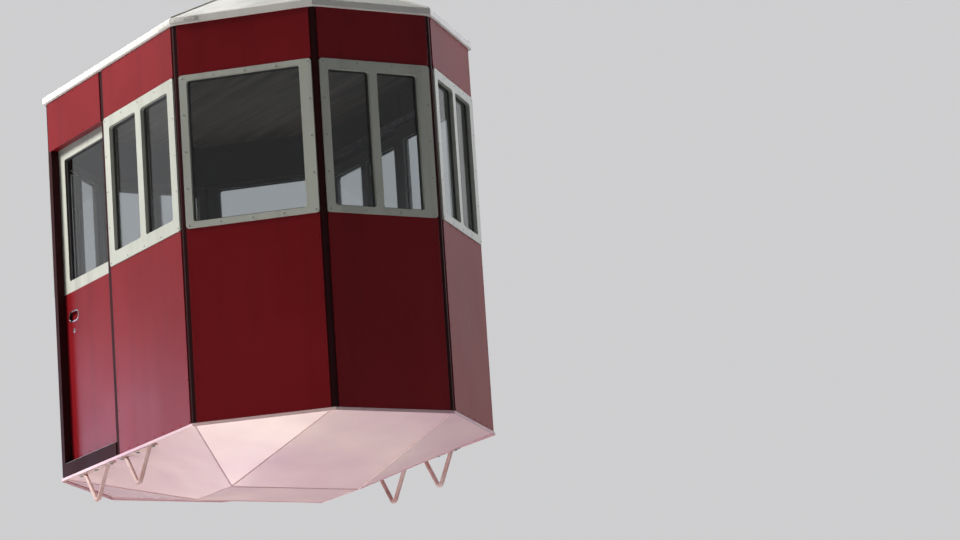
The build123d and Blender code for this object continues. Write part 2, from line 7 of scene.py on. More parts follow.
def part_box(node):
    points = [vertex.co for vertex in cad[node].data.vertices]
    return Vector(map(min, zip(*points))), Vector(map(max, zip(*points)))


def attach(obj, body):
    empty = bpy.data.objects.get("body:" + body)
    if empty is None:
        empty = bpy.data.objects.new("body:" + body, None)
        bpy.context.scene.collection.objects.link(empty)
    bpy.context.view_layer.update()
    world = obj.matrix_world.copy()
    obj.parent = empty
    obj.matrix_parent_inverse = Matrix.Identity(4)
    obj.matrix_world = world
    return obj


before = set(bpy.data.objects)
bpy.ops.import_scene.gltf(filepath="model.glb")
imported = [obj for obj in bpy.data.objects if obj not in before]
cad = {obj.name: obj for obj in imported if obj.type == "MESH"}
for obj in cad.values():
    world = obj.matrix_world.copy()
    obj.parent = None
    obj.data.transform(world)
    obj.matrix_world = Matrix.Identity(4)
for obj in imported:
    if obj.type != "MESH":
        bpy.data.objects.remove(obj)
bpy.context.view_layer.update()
scene = bpy.context.scene

# Heights of the construction that the fittings are set out from
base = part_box("lower_panels")[0].z
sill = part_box("lower_panels")[1].z
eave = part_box("eave_rim")[0].z
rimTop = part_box("eave_rim")[1].z
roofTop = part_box("roof_shell")[1].z


def newObject(name, data):
    made = bpy.data.objects.new(name, data)
    scene.collection.objects.link(made)
    return made


# Node trees

class Nodes:
    # short ways to build a material's or the world's nodes
    def __init__(self, owner):
        owner.use_nodes = True
        self.nodes, self.links = owner.node_tree.nodes, owner.node_tree.links

    def put(self, socket, value):
        # a socket takes another node's output, a colour or a plain value
        if isinstance(value, bpy.types.NodeSocket):
            self.links.new(value, socket)
        else:
            socket.default_value = (*value, 1) if socket.type == "RGBA" else value

    def add(self, kind, sockets=(), **settings):
        node = self.nodes.new("ShaderNode" + kind)
        for key, value in settings.items():
            setattr(node, key, value)
        for key, value in dict(sockets).items():
            self.put(node.inputs[key], value)
        return node

    def sums(self, operation, first, second):
        # kept between 0 and 1
        return self.add("Math", {0: first, 1: second}, operation=operation, use_clamp=True).outputs[0]

    def between(self, value, least, most, low=0.0, high=1.0):
        # carries a value's range of low to high over to least to most
        sockets = {"Value": value, "From Min": low, "From Max": high, "To Min": least, "To Max": most}
        return self.add("MapRange", sockets).outputs["Result"]


surfaceLook = {
    "noiseRoughness": 0.55,
    "bevelSamples": 4,
    "wornFrom": 0.995, "wornTo": 0.85,   # how far an edge turns the normal before its paint wears off
}


class Finish(Nodes):
    # a material being made; what is even all over sits on the shader's own sockets
    def __init__(self, name, sockets=()):
        self.material = bpy.data.materials.new(name)
        super().__init__(self.material)
        self.shader = self.nodes["Principled BSDF"]
        self.give(sockets)

    def give(self, sockets):
        for key, value in dict(sockets).items():
            self.put(self.shader.inputs[key], value)

    def pattern(self, scale, stretch=(1, 1, 1), detail=3, low=0.35, high=0.65):
        # noise fixed to the piece, spread from 0 to 1
        place = self.add("TexCoord").outputs["Object"]
        place = self.add("Mapping", {"Vector": place, "Scale": stretch}).outputs["Vector"]
        noise = {"Vector": place, "Scale": scale, "Detail": detail, "Roughness": surfaceLook["noiseRoughness"]}
        return self.between(self.add("TexNoise", noise).outputs["Fac"], 0, 1, low, high)

    def blend(self, amount, under, over):
        # under and over are colours or other nodes' outputs
        sockets = {"A": under, "B": over, "Factor": amount}
        return self.add("Mix", sockets, data_type="RGBA").outputs["Result"]

    def softNormal(self, radius):
        # the normal with its edges rounded
        return self.add("Bevel", {"Radius": radius}, samples=surfaceLook["bevelSamples"]).outputs["Normal"]

    def worn(self, soft):
        # 0 on the flats, 1 on the rounded edges
        flat = self.add("NewGeometry").outputs["Normal"]
        match = self.add("VectorMath", {0: soft, 1: flat}, operation="DOT_PRODUCT").outputs["Value"]
        return self.between(match, 0, 1, surfaceLook["wornFrom"], surfaceLook["wornTo"])

    def bumps(self, layers, normal=None):
        # layers: (height output, distance in metres, strength), broadest first
        for height, distance, strength in layers:
            bump = self.add("Bump", {"Height": height, "Distance": distance, "Strength": strength})
            if normal is not None:
                self.put(bump.inputs["Normal"], normal)
            normal = bump.outputs["Normal"]
        self.give({"Normal": normal})

    def cover(self, colour, gloss, look):
        self.give({"Base Color": colour, "Roughness": self.between(gloss, *look["roughness"])})

    def grained(self, look):
        # fine grain all over, and rounded edges where the look has them
        stretch = look.get("drawn", (1, 1, 1))
        grain = self.pattern(look["grainScale"], stretch, look["grainDetail"], 0, 1)
        soft = self.softNormal(look["edge"]) if "edge" in look else None
        self.bumps([(grain, look["grain"], look["grainStrength"])], soft)


# Camera, floor and light

view = {
    "x": -10.658, "y": -21.089,   # where the onlooker stands
    "belowWalls": 4.006,          # the floor, below the walls' bottom edge
    "heading": 29.9,              # degrees from +Y towards +X
    "pitch": 12.01,               # looking up
    "roll": -3.85,                # the old film frame hangs a little askew
    "lens": 152.4,
    "film": 36,
    "eyeOverFloor": 0.02,
    "nearest": 0.1, "farthest": 400,
}
floorLevel = base - view["belowWalls"]


def placeCamera():
    heading, pitch, roll = (radians(view[k]) for k in ("heading", "pitch", "roll"))
    ahead = Vector((sin(heading) * cos(pitch), cos(heading) * cos(pitch), sin(pitch)))
    level = Vector((cos(heading), -sin(heading), 0))
    upright = level.cross(ahead)
    right = level * cos(roll) + upright * sin(roll)
    up = upright * cos(roll) - level * sin(roll)
    camera = newObject("camera", bpy.data.cameras.new("camera"))
    camera.data.lens, camera.data.sensor_width = view["lens"], view["film"]
    camera.data.clip_start, camera.data.clip_end = view["nearest"], view["farthest"]
    turn = Matrix((right, up, -ahead)).transposed().to_4x4()
    camera.matrix_world = Matrix.Translation((view["x"], view["y"], floorLevel + view["eyeOverFloor"])) @ turn
    scene.camera = camera


stageLook = {
    "floorColour": (0.80, 0.80, 0.80), "floorShown": (0.60, 0.60, 0.61), "floorShadow": (0.10, 0.10, 0.10),
    "floorRoughness": 0.9, "floorSize": 160.0,
    "skyColour": (0.86, 0.90, 1.0), "skyStrength": 0.065, "backdrop": (0.62, 0.62, 0.63),
    "lampOverFloor": 0.05,   # no lamp sinks lower than this
}

# Columns: name, azimuth from -Y towards +X, elevation, distance, size, watts, colour
lamps = [
    ("keyLight", -117, 37, 11, 3.2, 1600, (1.0, 0.97, 0.94)),
    ("rightLight", 84, 18, 12, 3.0, 620, (0.92, 0.92, 1.0)),
    ("frontLight", -14, 62, 12, 5.0, 50, (1.0, 1.0, 1.0)),
    ("backLight", 172, 40, 12, 6.0, 600, (1.0, 1.0, 1.0)),
    ("glowLight", -154, -2, 10, 3.0, 110, (0.74, 0.68, 1.0)),
    ("floorBounce", -62, -60, 6, 4.0, 110, (1.0, 0.94, 0.86)),
    ("snowLight", 166, -50, 6, 2.2, 52, (1.0, 0.93, 0.84)),
]


def addStage():
    size = stageLook["floorSize"] / 2
    mesh = bpy.data.meshes.new("studioFloor")
    corners = [(x * size, y * size, floorLevel) for x, y in ((-1, -1), (1, -1), (1, 1), (-1, 1))]
    mesh.from_pydata(corners, [], [(0, 1, 2, 3)])
    floor = newObject("studioFloor", mesh)
    mesh.materials.append(floorFinish())


def floorFinish():
    # pale matt floor that shows nearly as the backdrop; from beneath it lets the view through
    look = stageLook
    floor = Finish("floorFinish", {"Base Color": look["floorColour"], "Roughness": look["floorRoughness"]})
    shadow = floor.add("BsdfDiffuse", {"Color": look["floorShadow"]})
    glow = floor.add("Emission", {"Color": look["floorShown"]})
    shown = floor.add("AddShader", {0: shadow.outputs[0], 1: glow.outputs[0]})
    seen = floor.add("LightPath").outputs["Is Camera Ray"]
    beneath = floor.add("NewGeometry").outputs["Backfacing"]
    surface = floor.shader
    for amount, other in ((seen, shown), (beneath, floor.add("BsdfTransparent"))):
        surface = floor.add("MixShader", {0: amount, 1: surface.outputs[0], 2: other.outputs[0]})
    floor.put(floor.nodes["Material Output"].inputs["Surface"], surface.outputs[0])
    return floor.material


def addWorld():
    # a dim sky lights the scene; the eye, mirrors and a look straight through glass see the backdrop
    world = bpy.data.worlds.new("studioSky")
    scene.world = world
    sky = Nodes(world)
    light = sky.nodes["Background"]
    sky.put(light.inputs["Color"], stageLook["skyColour"])
    sky.put(light.inputs["Strength"], stageLook["skyStrength"])
    ray = sky.add("LightPath").outputs
    bounces = sky.sums("ADD", ray["Diffuse Depth"], ray["Glossy Depth"])
    straight = sky.sums("LESS_THAN", bounces, 0.5)
    through = sky.sums("MULTIPLY", ray["Is Transmission Ray"], straight)
    showing = sky.sums("MAXIMUM", ray["Is Camera Ray"], through)
    showing = sky.sums("MAXIMUM", ray["Is Glossy Ray"], showing)
    seen = sky.add("Background", {"Color": stageLook["backdrop"]})
    mix = sky.add("MixShader", {0: showing, 1: light.outputs[0], 2: seen.outputs[0]})
    sky.put(sky.nodes["World Output"].inputs["Surface"], mix.outputs[0])


def addLamps():
    middle = Vector((0, 0, (base + eave) / 2))
    for name, azimuth, elevation, distance, size, watts, colour in lamps:
        a, e = radians(azimuth), radians(elevation)
        away = Vector((sin(a) * cos(e), -cos(a) * cos(e), sin(e)))
        lamp = newObject(name, bpy.data.lights.new(name, "AREA"))
        lamp.data.size, lamp.data.energy, lamp.data.color = size, watts, colour
        lamp.location = middle + away * distance
        lamp.location.z = max(lamp.location.z, floorLevel + stageLook["lampOverFloor"])
        lamp.rotation_euler = (middle - lamp.location).to_track_quat("-Z", "Y").to_euler()
        lamp.visible_camera = False


# Finishes, with colours as a screen shows them, 0 to 255

def linear(colour):
    # to the shader's own scale, by the sRGB curve
    return tuple((c / 255 / 12.92) if c <= 10 else ((c / 255 + 0.055) / 1.055) ** 2.4 for c in colour)


usualPaint = {
    "specular": 0.5, "edge": 0.0025, "wear": 0.5, "streaks": 0.25, "wave": 0.004,
    "fadeScale": 1.4, "streakScale": 9, "chipScale": 45, "glossScale": 5.5, "waveScale": 3.2, "peelScale": 420,
    "waveStrength": 0.6, "peel": 0.00006, "peelStrength": 0.35,
}
paintPatterns = {
    "fade": {"detail": 3, "low": 0.28, "high": 0.72},
    "streak": {"stretch": (1, 1, 0.07), "detail": 4, "low": 0.5, "high": 0.78},
    "chip": {"detail": 5, "low": 0.50, "high": 0.56},
    "gloss": {"detail": 2, "low": 0.2, "high": 0.8},
    "wave": {"detail": 1, "low": 0, "high": 1},
    "peel": {"detail": 2, "low": 0, "high": 1},
}
# What differs from the usual; the dark colour for faces that look into the cabin is a painted shade for the dim
# inside
paintLooks = {
    "redEnamel": {
        "colour": (119, 19, 26), "faded": (132, 27, 34), "dirt": (70, 18, 22), "under": (104, 70, 64),
        "roughness": (0.26, 0.34), "specular": 0.10, "streaks": 0.22, "wear": 0.25, "glossScale": 2.0,
        "paintedInsideShade": (34, 28, 25),
    },
    "maroonPaint": {
        "colour": (40, 11, 14), "faded": (50, 15, 18), "dirt": (24, 9, 10), "under": (70, 48, 44),
        "roughness": (0.50, 0.62), "specular": 0.08, "streaks": 0.3, "wear": 0.2,
    },
    "framePaint": {
        "colour": (196, 199, 188), "faded": (180, 184, 173), "dirt": (104, 100, 88), "under": (112, 104, 94),
        "roughness": (0.40, 0.52), "streaks": 0.36, "edge": 0.003, "paintedInsideShade": (60, 54, 48),
    },
    "rimPaint": {
        "colour": (236, 234, 226), "faded": (222, 220, 214), "dirt": (150, 144, 132), "under": (140, 134, 126),
        "roughness": (0.40, 0.55), "streaks": 0.2,
    },
    "panPaint": {
        "colour": (228, 197, 194), "faded": (200, 158, 174), "dirt": (150, 118, 120), "under": (130, 112, 106),
        "roughness": (0.24, 0.36), "streaks": 0.0, "wear": 0.4, "wave": 0.008, "waveScale": 3.4,
        "glossScale": 1.0,
    },
    "bracketPaint": {
        "colour": (214, 190, 186), "faded": (196, 150, 144), "dirt": (120, 62, 52), "under": (112, 52, 38),
        "roughness": (0.36, 0.58), "streaks": 0.6, "wear": 0.9, "wave": 0.0, "fadeScale": 9.0, "edge": 0.004,
    },
    "roofPaint": {
        "colour": (214, 213, 206), "faded": (196, 196, 190), "dirt": (118, 114, 104), "under": (132, 126, 116),
        "roughness": (0.48, 0.66), "streaks": 0.3, "fadeScale": 2.4, "wave": 0.008,
    },
    "greyPaint": {
        "colour": (132, 140, 142), "faded": (150, 156, 156), "dirt": (64, 62, 58), "under": (92, 62, 46),
        "roughness": (0.38, 0.56), "streaks": 0.4, "wear": 0.8, "fadeScale": 3.0, "wave": 0.001,
        "edge": 0.004, "chipScale": 30,
    },
}


def innerFace(finish, turnedIn=-0.3):
    # 1 on the faces of the walls that look into the cabin, which get a painted shade
    place = finish.add("TexCoord").outputs
    level = finish.add("VectorMath", {0: place["Object"], 1: (1, 1, 0)}, operation="MULTIPLY").outputs["Vector"]
    facing = finish.add("VectorMath", {0: level, 1: place["Normal"]}, operation="DOT_PRODUCT").outputs["Value"]
    return finish.sums("LESS_THAN", facing, turnedIn)


def painted(name, look):
    # faded and chipped paint on slightly wavy sheet metal, with rain streaks
    look = {**usualPaint, **look}
    finish = Finish(name, {"Specular IOR Level": look["specular"]})
    marks = {key: finish.pattern(look[key + "Scale"], **values) for key, values in paintPatterns.items()}
    streaks = finish.sums("MULTIPLY", marks["streak"], look["streaks"])
    soft = finish.softNormal(look["edge"])
    chips = finish.sums("MULTIPLY", finish.sums("MULTIPLY", finish.worn(soft), marks["chip"]), look["wear"])
    colour = finish.blend(marks["fade"], linear(look["colour"]), linear(look["faded"]))
    colour = finish.blend(streaks, colour, linear(look["dirt"]))
    colour = finish.blend(chips, colour, linear(look["under"]))
    # faces that look into the cabin get a dark colour: painted shade for the dim inside, not a known paint
    if "paintedInsideShade" in look:
        colour = finish.blend(innerFace(finish), colour, linear(look["paintedInsideShade"]))
    finish.cover(colour, marks["gloss"], look)
    finish.bumps([(marks["wave"], look["wave"], look["waveStrength"]),
                  (marks["peel"], look["peel"], look["peelStrength"])], soft)
    return finish.material


glassLook = {
    "tint": (214, 218, 220), "ior": 1.32, "smearScale": 3.0, "wiped": (1, 1, 2.5), "roughness": (0.015, 0.05),
    "rippleScale": 4.0, "ripple": 0.0008, "rippleStrength": 0.4,
}


def smokedGlass():
    # dark safety glass with faint wiping smears
    look = glassLook
    glass = Finish("smokedGlass", {"IOR": look["ior"], "Transmission Weight": 1.0,
                                   "Base Color": linear(look["tint"])})
    smears = glass.pattern(look["smearScale"], look["wiped"], 2, 0.3, 0.9)
    glass.give({"Roughness": glass.between(smears, *look["roughness"])})
    ripple = glass.pattern(look["rippleScale"], detail=1, low=0, high=1)
    glass.bumps([(ripple, look["ripple"], look["rippleStrength"])])
    return glass.material


ironLook = {
    "cast": (62, 62, 64), "greased": (26, 25, 26), "rust": (96, 58, 38), "rustShare": 0.6, "metal": 0.55,
    "greaseScale": 14, "rustScale": 32, "roughness": (0.62, 0.26), "edge": 0.003,
    "grainScale": 260, "grainDetail": 4, "grain": 0.0006, "grainStrength": 0.6,
}


def greasedIron():
    # cast iron with grease and a bloom of rust
    look = ironLook
    iron = Finish("greasedIron", {"Metallic": look["metal"]})
    grease = iron.pattern(look["greaseScale"], detail=5)
    rust = iron.pattern(look["rustScale"], detail=6, low=0.56, high=0.70)
    colour = iron.blend(grease, linear(look["cast"]), linear(look["greased"]))
    colour = iron.blend(iron.sums("MULTIPLY", rust, look["rustShare"]), colour, linear(look["rust"]))
    iron.cover(colour, grease, look)
    iron.grained(look)
    return iron.material


wheelLook = {
    "cast": (74, 72, 72), "greased": (34, 33, 34), "bright": (196, 194, 190), "metal": 0.8,
    "grooveHalf": 0.0275, "sideways": 0.93, "scuffs": 0.55, "greaseScale": 16,
    "roughness": (0.55, 0.22), "edge": 0.002,
    "grainScale": 300, "grainDetail": 3, "grain": 0.0004, "grainStrength": 0.5,
}


def wheelSteel():
    # dark cast sides; the groove and its lips are rubbed bright
    look = wheelLook
    steel = Finish("wheelSteel", {"Metallic": look["metal"]})
    grease = steel.pattern(look["greaseScale"], detail=5)
    place = steel.add("TexCoord").outputs
    across, facing = (steel.add("SeparateXYZ", {0: place[key]}).outputs["X"] for key in ("Object", "Normal"))
    nearMiddle = steel.sums("LESS_THAN", steel.sums("ABSOLUTE", across, 0), look["grooveHalf"])
    radial = steel.sums("LESS_THAN", steel.sums("ABSOLUTE", facing, 0), look["sideways"])
    groove = steel.sums("MULTIPLY", nearMiddle, radial)
    rubbed = steel.sums("MULTIPLY", groove, steel.sums("ADD", look["scuffs"], grease))
    colour = steel.blend(grease, linear(look["cast"]), linear(look["greased"]))
    colour = steel.blend(rubbed, colour, linear(look["bright"]))
    steel.cover(colour, groove, look)
    steel.grained(look)
    return steel.material


metalLooks = {
    "brakeLining": {
        "colour": (70, 60, 50), "dull": (44, 38, 34), "roughness": (0.62, 0.80),
        "grainScale": 260, "grain": 0.0004,
    },
    "brightSteel": {
        "colour": (188, 188, 190), "dull": (150, 150, 152), "roughness": (0.18, 0.34),
        "grainScale": 500, "grain": 0.0001, "drawn": (1, 1, 6),
    },
    "zincFinish": {
        "colour": (168, 170, 172), "dull": (120, 118, 112), "roughness": (0.34, 0.52),
        "grainScale": 300, "grain": 0.0002,
    },
}
metalMarks = {"dullScale": 20, "glossScale": 40, "edge": 0.001, "grainDetail": 3, "grainStrength": 0.5}


def metalFinish(name):
    # plain metal, dulled in patches, with fine marks
    look = {**metalMarks, **metalLooks[name]}
    metal = Finish(name, {"Metallic": 1.0})
    dull = metal.pattern(look["dullScale"], detail=3, low=0.25, high=0.75)
    gloss = metal.pattern(look["glossScale"], detail=2, low=0.2, high=0.8)
    metal.cover(metal.blend(dull, linear(look["colour"]), linear(look["dull"])), gloss, look)
    metal.grained(look)
    return metal.material


boardLooks = {
    "ceilingBoard": {"light": (150, 132, 108), "dark": (110, 92, 72), "plank": 0.12, "roughness": (0.40, 0.55)},
    "deckBoard": {"light": (118, 104, 88), "dark": (78, 66, 54), "plank": 0.14, "roughness": (0.60, 0.80)},
}
boardMarks = {
    "grainScale": 22, "alongGrain": 0.06, "grain": 0.0006, "grainStrength": 0.5,
    "joint": 0.002, "jointShade": 0.2, "jointDeep": 0.003, "jointStrength": 0.8,
}


def boards(name):
    # planks running along the cabin, with grain and dark joints
    look = {**boardMarks, **boardLooks[name]}
    wood = Finish(name)
    grain = wood.pattern(look["grainScale"], (1, look["alongGrain"], 1), 6, 0.35, 0.68)
    across = wood.add("SeparateXYZ", {0: wood.add("TexCoord").outputs["Object"]}).outputs["X"]
    fromJoint = wood.sums("PINGPONG", across, look["plank"] / 2)
    joint = wood.sums("LESS_THAN", fromJoint, look["joint"])
    dark = linear(look["dark"])
    colour = wood.blend(grain, linear(look["light"]), dark)
    colour = wood.blend(joint, colour, tuple(c * look["jointShade"] for c in dark))
    wood.cover(colour, grain, look)
    wood.bumps([(wood.sums("SUBTRACT", 1.0, joint), look["jointDeep"], look["jointStrength"]),
                (grain, look["grain"], look["grainStrength"])])
    return wood.material


rubberLook = {
    "colour": (22, 22, 23), "aged": (46, 45, 43), "agedScale": 30, "roughness": (0.45, 0.70),
    "grainScale": 500, "grainDetail": 2, "grain": 0.0003, "grainStrength": 0.5,
}


def sealRubber():
    look, rubber = rubberLook, Finish("sealRubber")
    aged = rubber.pattern(look["agedScale"], detail=5)
    rubber.cover(rubber.blend(aged, linear(look["colour"]), linear(look["aged"])), aged, look)
    rubber.grained(look)
    return rubber.material


finishes = {name: painted(name, look) for name, look in paintLooks.items()}
finishes |= {name: metalFinish(name) for name in metalLooks}
finishes |= {name: boards(name) for name in boardLooks}
finishes |= {"smokedGlass": smokedGlass(), "greasedIron": greasedIron(), "wheelSteel": wheelSteel(),
             "sealRubber": sealRubber()}

# Each finish's construction nodes, by how their names begin
nodeFinishes = {
    "redEnamel": ("lower_panels", "upper_panels", "door_panel"),
    "maroonPaint": ("corner_posts", "door_surrounds"),
    "framePaint": ("window_frames", "door_frame"),
    "smokedGlass": ("window_panes", "door_pane_"),
    "rimPaint": ("eave_rim",),
    "roofPaint": ("roof_shell",),
    "panPaint": ("floor_pan",),
    "bracketPaint": ("guide_brackets",),
    "ceilingBoard": ("ceiling",),
    "deckBoard": ("floor_deck",),
    "brightSteel": ("hand_rails", "hanger_pin", "bogie_axles"),
    "zincFinish": ("door_tracks",),
    "greyPaint": ("roof_beam", "hanger_arm", "main_beam", "rocker_beam", "bogie_frame", "haul_bar"),
    "greasedIron": ("rope_brake",),
    "wheelSteel": ("wheel_",),
}


def dressConstruction():
    for name, piece in cad.items():
        finish = next(key for key, starts in nodeFinishes.items() if name.startswith(starts))
        piece.data.materials.clear()
        piece.data.materials.append(finishes[finish])


# Mesh making

sharpOver = radians(32)   # edges that turn more than this stay sharp


class Pile:
    # small shapes gathered into one mesh
    def __init__(self):
        self.points, self.faces, self.wears = [], [], []

    def add(self, shape, place=None, wear=0):
        points, faces = shape
        start = len(self.points)
        self.points += [place @ Vector(p) if place else Vector(p) for p in points]
        self.faces += [[start + i for i in face] for face in faces]
        self.wears += [wear] * len(faces)

    def piece(self, name, body, slot, *wears):
        mesh = bpy.data.meshes.new(name)
        mesh.from_pydata(self.points, [], self.faces)
        mesh.polygons.foreach_set("material_index", self.wears)
        mesh.polygons.foreach_set("use_smooth", [True] * len(self.faces))
        for finish in wears:
            mesh.materials.append(finishes[finish])
        work = bmesh.new()
        work.from_mesh(mesh)
        bmesh.ops.recalc_face_normals(work, faces=work.faces)
        work.to_mesh(mesh)
        work.free()
        mesh.set_sharp_from_angle(angle=sharpOver)
        made = newObject(name, mesh)
        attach(made, body)


def lathe(profile, count=16, closed=False):
    # turned shape round Z from (radius, height) pairs
    points, rings, faces = [], [], []
    for radius, height in profile:
        rings.append([len(points) + (i if radius else 0) for i in range(count)])
        turns = [tau * i / count for i in range(count if radius else 1)]
        points += [(radius * cos(t), radius * sin(t), height) for t in turns]
    for low, high in zip(rings, rings[1:] + (rings[:1] if closed else [])):
        for i in range(count):
            j = (i + 1) % count
            face = list(dict.fromkeys([low[i], low[j], high[j], high[i]]))
            if len(face) > 2:
                faces.append(face)
    return points, faces


def turned(fitting, size):
    # fitting is its count of sides and its profile in shares of the size
    count, profile = fitting
    return lathe([(radius * size, height * size) for radius, height in profile], count)


def tube(path, radii, sides=8):
    # round bar along a line of points; the radii repeat along it
    points, faces = [], []
    across = (path[1] - path[0]).orthogonal().normalized()
    for i, spot in enumerate(path):
        ahead = (path[min(i + 1, len(path) - 1)] - path[max(i - 1, 0)]).normalized()
        across = (across - ahead * across.dot(ahead)).normalized()
        other = ahead.cross(across)
        for k in range(sides):
            t = tau * k / sides
            points.append(spot + (across * cos(t) + other * sin(t)) * radii[i % len(radii)])
    for i in range(len(path) - 1):
        for k in range(sides):
            n = (k + 1) % sides
            faces.append([i * sides + k, i * sides + n, (i + 1) * sides + n, (i + 1) * sides + k])
    return points, faces + [list(range(sides)), list(range(len(points) - sides, len(points)))]


def moulding(outline, profile):
    # (out, height) pairs carried round a closed anticlockwise outline
    points, faces, deep, count = [], [], len(profile), len(outline)
    for i, here in enumerate(outline):
        back = (Vector(here) - Vector(outline[i - 1])).normalized()
        on = (Vector(outline[(i + 1) % count]) - Vector(here)).normalized()
        normal = Vector((back.y + on.y, -back.x - on.x)).normalized()
        normal /= normal.dot(Vector((on.y, -on.x)))
        points += [(here[0] + normal.x * out, here[1] + normal.y * out, height) for out, height in profile]
        for k in range(deep):
            j, n = (i + 1) % count, (k + 1) % deep
            faces.append([i * deep + k, j * deep + k, j * deep + n, i * deep + n])
    return points, faces


def roundedOutline(x0, x1, y0, y1, radius, steps=5):
    outline = []
    for corner, (x, y) in enumerate(((x1, y1), (x0, y1), (x0, y0), (x1, y0))):
        centre = (x - copysign(radius, 2 * x - x0 - x1), y - copysign(radius, 2 * y - y0 - y1))
        for i in range(steps + 1):
            t = pi / 2 * (corner + i / steps)
            outline.append((centre[0] + radius * cos(t), centre[1] + radius * sin(t)))
    return outline


def plate(x, y, z, edge):
    # block standing on its base at height 0, with rounded edges
    work = bmesh.new()
    bmesh.ops.create_cube(work, size=1)
    for vert in work.verts:
        vert.co = Vector((vert.co.x * x, vert.co.y * y, (vert.co.z + 0.5) * z))
    bmesh.ops.bevel(work, geom=work.edges[:], offset=edge, segments=2, profile=0.5, affect="EDGES")
    work.verts.index_update()
    shape = [vert.co.copy() for vert in work.verts], [[v.index for v in face.verts] for face in work.faces]
    work.free()
    return shape


def facing(origin, outward, turn=0.0):
    # a place whose Z points outwards
    outward = Vector(outward).normalized()
    across = outward.orthogonal().normalized()
    stand = Matrix((across, outward.cross(across), outward)).transposed().to_4x4()
    return Matrix.Translation(origin) @ stand @ Matrix.Rotation(turn, 4, "Z")


# Sides and profile of each fitting, as (radius, height) in shares of its own radius
washer = 20, ((0, 0), (1.25, 0), (1.25, 0.16), (0, 0.16))
hexagonHead = 6, ((1, 0.12), (1, 0.5904), (0.84, 0.72), (0.5, 0.6984), (0, 0.6984))
rivetDome = 10, ((1, 0), (0.9, 0.28), (0.5, 0.46), (0, 0.5))
greaseNipple = 12, ((1, 0), (1, 0.5), (0.5, 0.7), (0.6, 1.1), (0, 1.3))
beadLook = {"ripple": 0.006, "radii": (1, 0.8), "sides": 6}


def bolt(pile, origin, outward, size, turn=0.0):
    # hexagon head with its washer; size is the head's radius over the corners
    place = facing(origin, outward, turn)
    pile.add(turned(washer, size), place)
    pile.add(turned(hexagonHead, size), place)


def boltRing(pile, centre, outward, radius, count, size, start=0.0):
    # bolts on a circle round an axle that runs along X
    for i in range(count):
        t = tau * i / count + start
        bolt(pile, Vector(centre) + Vector((0, cos(t), sin(t))) * radius, outward, size, t)


def rivet(pile, origin, outward, size):
    pile.add(turned(rivetDome, size), facing(origin, outward))


def nipple(pile, origin, outward, size):
    pile.add(turned(greaseNipple, size), facing(origin, outward))


def bead(pile, path, size, wear=0):
    # weld with its ripples
    pile.add(tube(path, [size * share for share in beadLook["radii"]], beadLook["sides"]), None, wear)


def weld(pile, start, end, size):
    start, end = Vector(start), Vector(end)
    steps = max(2, round((end - start).length / beadLook["ripple"]))
    bead(pile, [start.lerp(end, i / steps) for i in range(steps + 1)], size)


# The cabin's plan, for what is set out along its walls

plan = {
    "endHalf": 0.375,       # half the end sides
    "longHalf": 0.915,      # half the long sides
    "reach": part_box("lower_panels")[1],
    "corner": radians(45),
}


def planCorners(out=0.0):
    shift = out * tan(plan["corner"] / 2)
    a, b = plan["endHalf"] + shift, plan["reach"].y + out
    c, d = plan["reach"].x + out, plan["longHalf"] + shift
    return [Vector(p) for p in ((-a, -b), (a, -b), (c, -d), (c, d), (a, b), (-a, b), (-c, d), (-c, -d))]


def sideLength(index):
    corners = planCorners()
    return (corners[(index + 1) % 8] - corners[index]).length


def onSide(index, along=0.0, height=0.0, out=0.0):
    # place on a wall: X along it from its left corner seen from outside, Y up, Z outwards
    corners = planCorners()
    start, end = Vector((*corners[index], base)), Vector((*corners[(index + 1) % 8], base))
    ahead = (end - start).normalized()
    outward = Vector((ahead.y, -ahead.x, 0))
    spot = start + ahead * along + outward * out + Vector((0, 0, height))
    return Matrix.Translation(spot) @ Matrix((ahead, (0, 0, 1), outward)).transposed().to_4x4()


def outwardOf(index):
    return onSide(index).to_3x3() @ Vector((0, 0, 1))


def solidsOf(name, digits=5):
    # the separate solids of a construction node, as lists of points
    mesh, spots = cad[name].data, {}
    order = [spots.setdefault(tuple(round(c, digits) for c in v.co), len(spots)) for v in mesh.vertices]
    parent = list(range(len(spots)))

    def root(i):
        while parent[i] != i:
            parent[i] = parent[parent[i]]
            i = parent[i]
        return i

    for polygon in mesh.polygons:
        for v in polygon.vertices[1:]:
            parent[root(order[v])] = root(order[polygon.vertices[0]])
    groups = {}
    for spot, i in spots.items():
        groups.setdefault(root(i), []).append(Vector(spot))
    return list(groups.values())


def lieOnSide(points):
    # a flat solid's wall, and its lowest and highest corners there
    found = []
    for index in range(8):
        local = [onSide(index).inverted() @ p for p in points]
        low = Vector([min(p[k] for p in local) for k in range(3)])
        high = Vector([max(p[k] for p in local) for k in range(3)])
        found.append((round(high.z - low.z, 3), abs(high.z + low.z), index, low, high))
    return min(found)[2:]


def spread(length, spacing):
    # evenly set places from 0 to a length, about a spacing apart
    count = max(1, round(length / spacing))
    return [length * i / count for i in range(count + 1)]


# Cabin walls

rivetTrim = {"size": 0.0048, "inset": 0.014, "spacing": 0.118}
screwTrim = {"size": 0.0060, "inset": 0.019, "spacing": 0.21}
sealTrim = {
    "wide": 0.009, "high": 0.006, "paneCorner": 0.018,
    "profile": ((-1, 0), (-0.8, 0.7), (-0.3, 1), (0, 0.9), (0, 0)),   # in shares of wide and high
}


def rivetEdges(pile, index, low, high, trim):
    # rivets or screws round a panel's edge, on its outer face
    inset, spacing = trim["inset"], trim["spacing"]
    x0, x1, y0, y1 = low.x + inset, high.x - inset, low.y + inset, high.y - inset
    places = [(x0 + u, v) for u in spread(x1 - x0, spacing) for v in (y0, y1)]
    places += [(u, y0 + v) for v in spread(y1 - y0, spacing)[1:-1] for u in (x0, x1)]
    for u, v in places:
        rivet(pile, onSide(index, u, v, high.z).translation, outwardOf(index), trim["size"])


